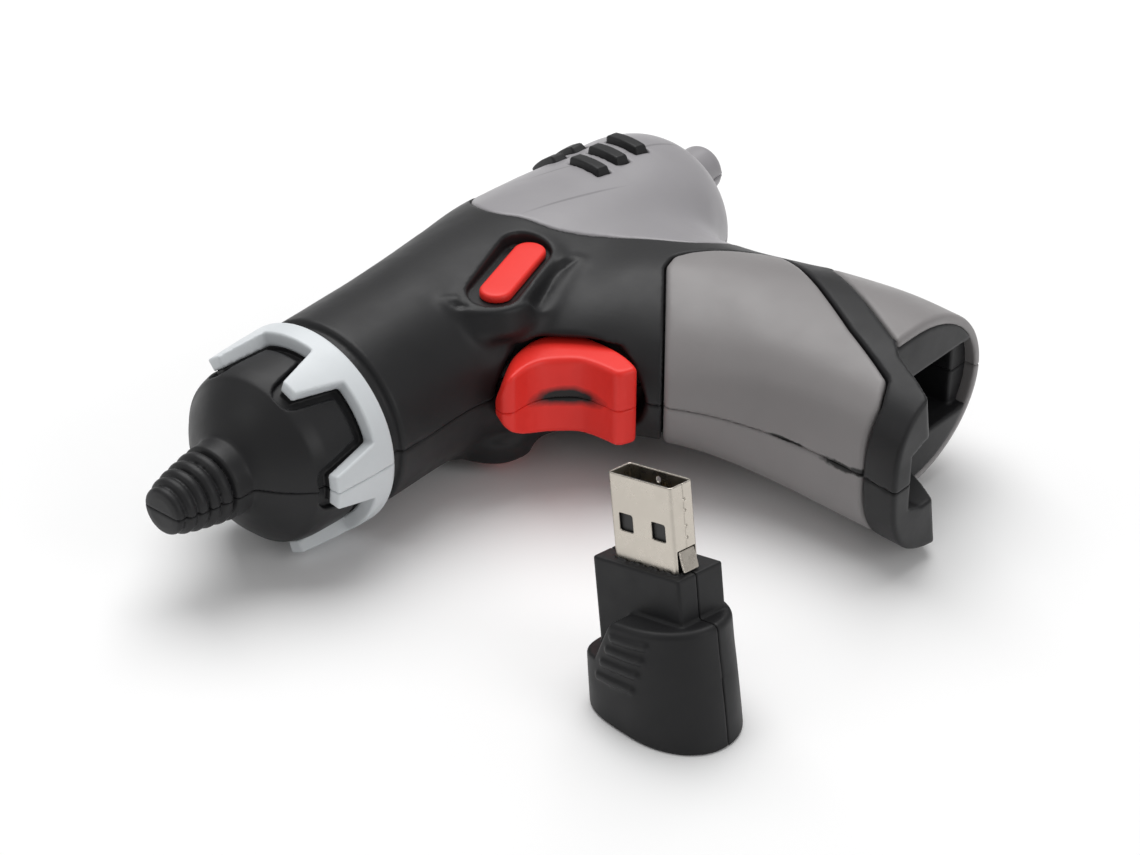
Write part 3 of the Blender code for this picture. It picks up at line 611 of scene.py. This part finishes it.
STICK_AT = np.array((2.9, 70.7, -ORIGIN[2]))
LEAN_W, LEAN_D, STICK_YAW = math.radians(12.0), math.radians(6.0), math.radians(5.0)
FOOT_FRONT, FOOT_BACK, FOOT_HALF = -9.6, 11.6, 8.2
# How square the foot's outline is in front and behind
SQUARE_FRONT, SQUARE_BACK = 3.4, 2.1
# The foot's top, the step cut lower in front of the neck, and the ramp down to it: its top in w and its run
SHELF, STEP, RAMP_TOP, RAMP_RUN = 15.8, 9.6, -1.4, 3.8
NECK_HALF_W, NECK_FRONT, NECK_BACK, NECK_TOP = 8.27, -3.6, 5.2, 22.7
PLUG_AT, PLUG_W, PLUG_D, PLUG_BOTTOM, PLUG_TOP, PLUG_WALL = 0.7, 12.0, 4.5, 18.2, 35.5, 0.3
WINDOW, WINDOW_W, WINDOW_A = 2.6, 3.1, 28.5


def stick_axes():
    up = Vector((-math.tan(LEAN_D), -math.tan(LEAN_W), 1.0)).normalized()
    across = Vector((math.sin(STICK_YAW), math.cos(STICK_YAW), 0.0))
    across = (across - up * across.dot(up)).normalized()
    return np.array(Matrix((across, up.cross(across), up)))


AXES = stick_axes()


def stick_place(points):
    return points @ AXES + STICK_AT + ORIGIN


foot_flare = curve([(-8.0, 0.42), (1.0, 0.35), (7.5, 0.2), (12.0, 0.05), (18.0, 0.0)], 1, 0.5)


def foot_field(w, d, a):
    """The D-shaped foot: squarish in front, round behind, with a low step cut in front of the neck."""
    flare = foot_flare(a)
    along = w - (FOOT_FRONT + FOOT_BACK) / 2
    half_w, half_d = (FOOT_BACK - FOOT_FRONT) / 2 + flare, FOOT_HALF + flare
    power = np.where(along < 0, SQUARE_FRONT, SQUARE_BACK)
    reach = np.maximum(np.hypot(along, d), 1e-3)
    share = ((np.abs(along) / reach / half_w) ** power + (np.abs(d) / reach / half_d) ** power) ** (1 / power)
    sides = reach - 1.0 / share
    f = round_max(sides, a - SHELF, 1.0)
    ramp = (w - RAMP_TOP) * (SHELF - STEP) - (a - SHELF) * RAMP_RUN
    ramp = np.maximum(ramp / math.hypot(SHELF - STEP, RAMP_RUN), STEP - a)
    return round_max(f, -ramp, 0.6)


# Grip ridges on the foot's broad front: left end and right end of each, as w and a
RIDGES = [((-0.8, 13.7), (4.9, 13.6)), ((-1.9, 11.6), (4.1, 11.3)), ((-3.2, 9.4), (3.2, 9.0)),
          ((-4.4, 7.1), (2.2, 6.6))]
RIDGE_HEIGHT, RIDGE_WIDTH = 0.42, 0.62
BEAD_RADIUS = 0.24


def plug_outline(w, d, grow=0.0, corner=0.6):
    return rectangle(w - PLUG_AT, d, PLUG_W / 2 + grow, PLUG_D / 2 + grow, corner + grow)


def stick_field(w, d, a):
    f = foot_field(w, d, a)
    neck = rectangle(w, d - (NECK_FRONT + NECK_BACK) / 2, NECK_HALF_W, (NECK_BACK - NECK_FRONT) / 2, 0.35)
    neck = round_max(np.maximum(neck, 4.0 - a), a - NECK_TOP, 0.3)
    f = round_min(f, neck, 0.45)
    for ends in RIDGES:
        f = f - RIDGE_HEIGHT * np.exp(-(pill_distance(w, a, ends) / RIDGE_WIDTH) ** 4) * (d < 0)
    level = w * AXES[0, 2] + d * AXES[1, 2] + a * AXES[2, 2]
    f = round_max(f, -level, 0.5)
    f = round_max(f, -np.maximum(plug_outline(w, d, 0.06), PLUG_BOTTOM - 0.5 - a), 0.1)
    # the uneven bead of glue that stands round the plug
    wave = 0.08 * np.sin(2.1 * w + 1.3 * d) + 0.07 * np.sin(5.3 * w - 2.0 * d)
    bead = np.hypot(plug_outline(w, d, 0.15), a - NECK_TOP) - BEAD_RADIUS - wave
    return round_min(f, np.maximum(bead, 0.03 - plug_outline(w, d)), 0.15)


# The latch in the plug's side, the small hole at its top, and the folded seam with its dimples
TAB_LOW, TAB_HIGH, TAB_HALF, TAB_BEND, TAB_THICK = 22.95, 25.9, 1.5, 0.25, 0.28
HOLE_LEFT, HOLE_DOWN, HOLE_RADIUS = 0.35, 1.35, 0.45
PLUG_SEAM_D, PLUG_SEAM_HALF, DIMPLES = 0.15, 0.05, (27.6, 29.3, 31.6, 33.2)


def plug_field(w, d, a):
    """The folded metal shell of the plug: windows, hole, side seam, dimples and the bent-out latch."""
    outside = plug_outline(w, d)
    f = np.maximum(outside, -(outside + PLUG_WALL))
    f = round_max(np.maximum(f, PLUG_BOTTOM - a), a - PLUG_TOP, 0.08)
    for side in (-1, 1):
        window = rectangle(w - PLUG_AT - side * WINDOW_W, a - WINDOW_A, WINDOW / 2, WINDOW / 2, 0.3)
        f = round_max(f, -window, 0.05)
    hole = np.hypot(w - PLUG_AT + HOLE_LEFT, a - PLUG_TOP + HOLE_DOWN) - HOLE_RADIUS
    f = np.maximum(f, -np.maximum(hole, 0.5 - d))
    right = w - PLUG_AT - PLUG_W / 2
    seam = np.maximum(np.abs(d - PLUG_SEAM_D) - PLUG_SEAM_HALF, np.maximum(-0.12 - right, TAB_HIGH - a))
    f = np.maximum(f, -seam)
    for at in DIMPLES:
        knob = np.hypot(np.hypot(d - PLUG_SEAM_D, a - at), (right + 0.03) * 1.2) - 0.2
        f = np.maximum(f, -(np.hypot(np.hypot(d - 0.4, a - at), right) - 0.22))
        f = np.minimum(f, knob)
    slot = rectangle(d, a - (TAB_LOW + TAB_HIGH) / 2, TAB_HALF + 0.28, (TAB_HIGH - TAB_LOW) / 2 + 0.15, 0.1)
    f = np.maximum(f, -np.maximum(slot, -0.6 - right))
    bent = right - TAB_BEND * np.clip(TAB_HIGH - a, 0.0, 4.0) + 0.12
    tab = rectangle(d, a - (TAB_LOW + TAB_HIGH) / 2, TAB_HALF, (TAB_HIGH - TAB_LOW) / 2, 0.15)
    tab = np.maximum(np.abs(bent) - TAB_THICK / 2, tab)
    return np.minimum(f, tab * 0.95)


# ---------------------------------------------------------------- materials

def node(tree, kind, at=(0, 0), **settings):
    made = tree.nodes.new(kind)
    made.location = at
    for key, value in settings.items():
        setattr(made, key, value)
    return made


def noise(tree, coords, scale, detail=3.0, rough=0.55):
    made = node(tree, "ShaderNodeTexNoise")
    made.inputs["Scale"].default_value = scale
    made.inputs["Detail"].default_value = detail
    made.inputs["Roughness"].default_value = rough
    tree.links.new(coords, made.inputs["Vector"])
    return made.outputs["Fac"]


def spread(tree, value, low, high, out_low, out_high):
    made = node(tree, "ShaderNodeMapRange")
    for key, number in (("From Min", low), ("From Max", high), ("To Min", out_low), ("To Max", out_high)):
        made.inputs[key].default_value = number
    tree.links.new(value, made.inputs["Value"])
    return made.outputs["Result"]


def start_material(name):
    mat = bpy.data.materials.new(name)
    mat.use_nodes = True
    tree = mat.node_tree
    coords = node(tree, "ShaderNodeTexCoord").outputs["Object"]
    return mat, tree, tree.nodes["Principled BSDF"], coords


def mix(tree, factor, one, two):
    made = node(tree, "ShaderNodeMix", data_type="RGBA")
    for socket, value in ((made.inputs["Factor"], factor), (made.inputs[6], one), (made.inputs[7], two)):
        if isinstance(value, bpy.types.NodeSocket):
            tree.links.new(value, socket)
        elif isinstance(value, (int, float)):
            socket.default_value = value
        else:
            socket.default_value = (*value, 1.0)
    return made.outputs[2]


def smear_mask(tree, coords, centre, turn, radii, rag=0.25):
    """A patch, 1 inside and 0 outside: centre and radii in mm, turn about z in degrees, ragged edge."""
    place = node(tree, "ShaderNodeMapping", vector_type="TEXTURE")
    place.inputs["Location"].default_value = tuple((np.array(centre) + ORIGIN) * MM)
    place.inputs["Rotation"].default_value = (0.0, 0.0, math.radians(turn))
    place.inputs["Scale"].default_value = tuple(r * MM for r in radii)
    tree.links.new(coords, place.inputs["Vector"])
    reach = node(tree, "ShaderNodeVectorMath", operation="LENGTH")
    tree.links.new(place.outputs["Vector"], reach.inputs[0])
    ragged = node(tree, "ShaderNodeMath", operation="ADD")
    tree.links.new(reach.outputs["Value"], ragged.inputs[0])
    tree.links.new(spread(tree, noise(tree, coords, 700.0, 3.0), 0.3, 0.7, -rag, rag), ragged.inputs[1])
    return spread(tree, ragged.outputs["Value"], 0.5 + rag, 1.2, 1.0, 0.0)


GLUE_BLACK = (0.008, 0.008, 0.008)


def soft_pvc(name, colour, roughness, vary=0.12, grain=0.06, gloss=0.5, smears=(), smear_colour=GLUE_BLACK):
    """Moulded soft PVC: a slightly cloudy colour, fine mould grain, uneven gloss and smears of glue."""
    mat, tree, shader, coords = start_material(name)
    cloud = noise(tree, coords, 45.0, 4.0)
    speck = noise(tree, coords, 900.0, 2.0)
    dark = tuple(c * (1 - vary) for c in colour)
    light = tuple(min(1.0, c * (1 + vary)) for c in colour)
    shade = mix(tree, spread(tree, cloud, 0.3, 0.7, 0.0, 1.0), dark, light)
    for smear in smears:
        shade = mix(tree, smear_mask(tree, coords, *smear), shade, smear_colour)
    tree.links.new(shade, shader.inputs["Base Color"])
    tree.links.new(spread(tree, noise(tree, coords, 160.0, 4.0), 0.3, 0.7, roughness - 0.06, roughness + 0.07),
                   shader.inputs["Roughness"])
    bump = node(tree, "ShaderNodeBump")
    bump.inputs["Strength"].default_value = grain
    bump.inputs["Distance"].default_value = 0.0002
    tree.links.new(speck, bump.inputs["Height"])
    tree.links.new(bump.outputs["Normal"], shader.inputs["Normal"])
    shader.inputs["Specular IOR Level"].default_value = gloss
    return mat


def metal(name, colour, roughness):
    mat, tree, shader, coords = start_material(name)
    cloud = noise(tree, coords, 220.0, 3.0)
    tree.links.new(mix(tree, cloud, tuple(c * 0.93 for c in colour), colour), shader.inputs["Base Color"])
    tree.links.new(spread(tree, noise(tree, coords, 500.0, 5.0), 0.3, 0.7, roughness - 0.05, roughness + 0.08),
                   shader.inputs["Roughness"])
    shader.inputs["Metallic"].default_value = 1.0
    bump = node(tree, "ShaderNodeBump")
    bump.inputs["Strength"].default_value = 0.05
    bump.inputs["Distance"].default_value = 0.0002
    tree.links.new(noise(tree, coords, 1500.0, 2.0), bump.inputs["Height"])
    tree.links.new(bump.outputs["Normal"], shader.inputs["Normal"])
    return mat


# Smears of black glue along the seam, and faint streaks in the rear cover
TRIGGER_SMEAR = [((-30.0, 24.2, 0.35), 128.0, (6.0, 4.0, 1.6), 0.06)]
PANEL_SMEARS = [((-43.0, 56.5, 0.2), 90.0, (3.6, 3.0, 0.35)), ((-43.0, 66.4, -0.1), 90.0, (3.4, 3.0, 0.75)),
                ((-43.0, 70.2, 0.3), 90.0, (1.6, 3.0, 0.7))]
COVER_STREAKS = [((-57.4, 2.2, 15.5), -13.0, (10.0, 0.28, 4.0), 0.04),
                 ((-63.7, -7.1, 13.8), -20.0, (5.0, 0.25, 4.0), 0.04),
                 ((-81.5, -1.2, 13.5), -10.0, (8.0, 0.3, 4.0), 0.04)]

BLACK = soft_pvc("black_pvc", (0.016, 0.016, 0.017), 0.44, gloss=0.28)
STICK_BLACK = soft_pvc("stick_black_pvc", (0.012, 0.012, 0.013), 0.5, gloss=0.3)
GREY = soft_pvc("grey_pvc", (0.240, 0.228, 0.228), 0.40, vary=0.05, gloss=0.4, smears=PANEL_SMEARS)
COVER_GREY = soft_pvc("cover_grey_pvc", (0.300, 0.290, 0.303), 0.38, vary=0.05, gloss=0.45,
                      smears=COVER_STREAKS, smear_colour=(0.215, 0.208, 0.217))
RED = soft_pvc("red_pvc", (0.86, 0.030, 0.021), 0.42, vary=0.05, gloss=0.36, smears=TRIGGER_SMEAR)
SILVER = soft_pvc("silver_grey_pvc", (0.66, 0.69, 0.71), 0.42, vary=0.04, grain=0.12)
STEEL = metal("nickel_steel", (0.60, 0.555, 0.49), 0.28)
GOLD = metal("gold_plate", (0.85, 0.62, 0.28), 0.25)
INSULATOR = soft_pvc("black_insulator", (0.02, 0.02, 0.02), 0.5)
BOARD = soft_pvc("green_board", (0.02, 0.16, 0.06), 0.45)
CHIP = soft_pvc("chip_black", (0.03, 0.03, 0.03), 0.5)
CERAMIC = soft_pvc("ceramic_tan", (0.45, 0.32, 0.2), 0.5)

# ---------------------------------------------------------------- the pieces

BODY_STEP = 0.45
FINE_STEP = 0.3
PLUG_STEP = 0.12

halves("body_shell", core_field, (-84.0, -22.0), (0.0, 79.0, 18.0), BODY_STEP, BLACK, "black_pvc",
       lambda x, y, z: core_field(x, y, z, -1.0))
halves("grip_side_panel", side_field, (-68.0, 23.0), (-34.0, 74.0, 17.0), BODY_STEP, GREY, "grey_pvc")
halves("grip_back_panel", back_field, (-84.0, 38.0), (-54.0, 68.0, 17.0), BODY_STEP, GREY, "grey_pvc")
halves("rear_cover", cover_field, (-105.0, -22.0), (-44.0, 27.0, 18.0), BODY_STEP, COVER_GREY, "cover_grey_pvc")
halves("trigger", trigger_field(trigger_top, 0.8), (-39.0, 14.0), (-17.0, 35.0, 8.0), FINE_STEP, RED,
       "red_pvc", trigger_field(trigger_low, 0.85))
halves("chuck", chuck_field, (-1.0, -15.0), (33.0, 15.0, 15.0), FINE_STEP, BLACK, "black_pvc")
halves("collar", collar_field, (-0.5, -17.5), (13.0, 17.5, 17.5), FINE_STEP, SILVER, "silver_grey_pvc")

button = surface(button_field, (-46.0, 3.0, 12.0), (-24.0, 15.0, 16.5), FINE_STEP)
drill_pair("side_button", button, button, RED, "red_pvc")

for number, rib in enumerate(RIBS, 1):
    turn = math.radians(rib[1])
    centre = np.array((rib[0], RIB_AXIS_Y - RIB_REACH * math.sin(turn), RIB_REACH * math.cos(turn)))
    bar = surface(rib_field(rib), centre - 7.0, centre + 7.0, FINE_STEP)
    drill_pair("vent_rib", bar, bar, BLACK, "black_pvc", f"_{number}")

for part, sign in (("front", -1.0), ("back", 1.0)):
    def half_stick(w, d, a, sign=sign):
        return round_max(stick_field(w, d, a), SEAM - sign * d, SEAM_ROUND)
    low_d, high_d = (-9.5, 0.0) if sign < 0 else (0.0, 9.5)
    points, faces = surface(half_stick, (-11.5, low_d, -2.5), (13.5, high_d, 25.0), FINE_STEP)
    piece(f"stick_shell_{part}_skin", points, faces, STICK_BLACK, "stick", [f"stick_shell_{part}"],
          "stick_black_pvc", stick_place)

points, faces = surface(plug_field, (-5.4, -2.35, 18.1), (7.6, 2.35, 35.6), PLUG_STEP)
piece("usb_shell_skin", points, faces, STEEL, "stick", ["usb_shell"], "nickel_steel", stick_place)

for names, mat in ((("usb_tongue",), INSULATOR), (("circuit_board",), BOARD),
                   (("flash_chip", "controller_chip"), CHIP), (("clock_crystal",), STEEL),
                   (("capacitor_1", "capacitor_2"), CERAMIC),
                   ([f"usb_contact_{i}" for i in (1, 2, 3, 4)], GOLD)):
    for name in names:
        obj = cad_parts[name]
        obj.data.materials.clear()
        obj.data.materials.append(mat)

# ---------------------------------------------------------------- floor, light and camera

def floor_material():
    mat, _, shader, _ = start_material("floor")
    shader.inputs["Base Color"].default_value = (0.95, 0.95, 0.95, 1.0)
    shader.inputs["Roughness"].default_value = 0.6
    shader.inputs["Specular IOR Level"].default_value = 0.2
    return mat


bm = bmesh.new()
bmesh.ops.create_grid(bm, x_segments=1, y_segments=1, size=3.0)
mesh = bpy.data.meshes.new("floor")
bm.to_mesh(mesh)
bm.free()
floor = bpy.data.objects.new("floor", mesh)
bpy.context.scene.collection.objects.link(floor)
mesh.materials.append(floor_material())

world = bpy.data.worlds.new("studio")
world.use_nodes = True
background = world.node_tree.nodes["Background"]
background.inputs["Color"].default_value = (1.0, 1.0, 1.0, 1.0)
background.inputs["Strength"].default_value = 0.36
bpy.context.scene.world = world


def area_light(name, place, aim, size, power):
    """A square soft light; place, aim and size in metres, power in watts."""
    data = bpy.data.lights.new(name, "AREA")
    data.energy = power
    data.shape = "SQUARE"
    data.size = size
    obj = bpy.data.objects.new(name, data)
    obj.location = place
    obj.rotation_euler = (Vector(aim) - Vector(place)).to_track_quat("-Z", "Y").to_euler()
    bpy.context.scene.collection.objects.link(obj)


area_light("key", (-0.25, -0.3, 0.9), (0, 0, 0), 0.9, 8.6)
area_light("left", (0.9, -0.5, 0.6), (0, 0, 0.02), 0.5, 0.9)
area_light("right", (-0.1, 0.9, 0.45), (0, 0, 0.02), 0.5, 1.7)

# The camera's place in the drill's own axes, and its right and up directions
CAMERA_AT = np.array((284.8, 291.6, 260.5))
CAMERA_RIGHT, CAMERA_UP = (-0.64879, 0.76095, 0.00487), (-0.40899, -0.35409, 0.84104)
LENS, SENSOR = 101.05, 36.0

camera_data = bpy.data.cameras.new("camera")
camera_data.sensor_width = SENSOR
camera_data.lens = LENS
camera_data.clip_start = 0.01
camera_data.clip_end = 20.0
camera = bpy.data.objects.new("camera", camera_data)
bpy.context.scene.collection.objects.link(camera)
right, up = Vector(CAMERA_RIGHT).normalized(), Vector(CAMERA_UP).normalized()
back = right.cross(up).normalized()
up = back.cross(right).normalized()
camera.matrix_world = (Matrix.Translation(Vector((CAMERA_AT + ORIGIN) * MM))
                       @ Matrix((right, up, back)).transposed().to_4x4())
bpy.context.scene.camera = camera
bpy.context.scene.view_settings.view_transform = "Standard"
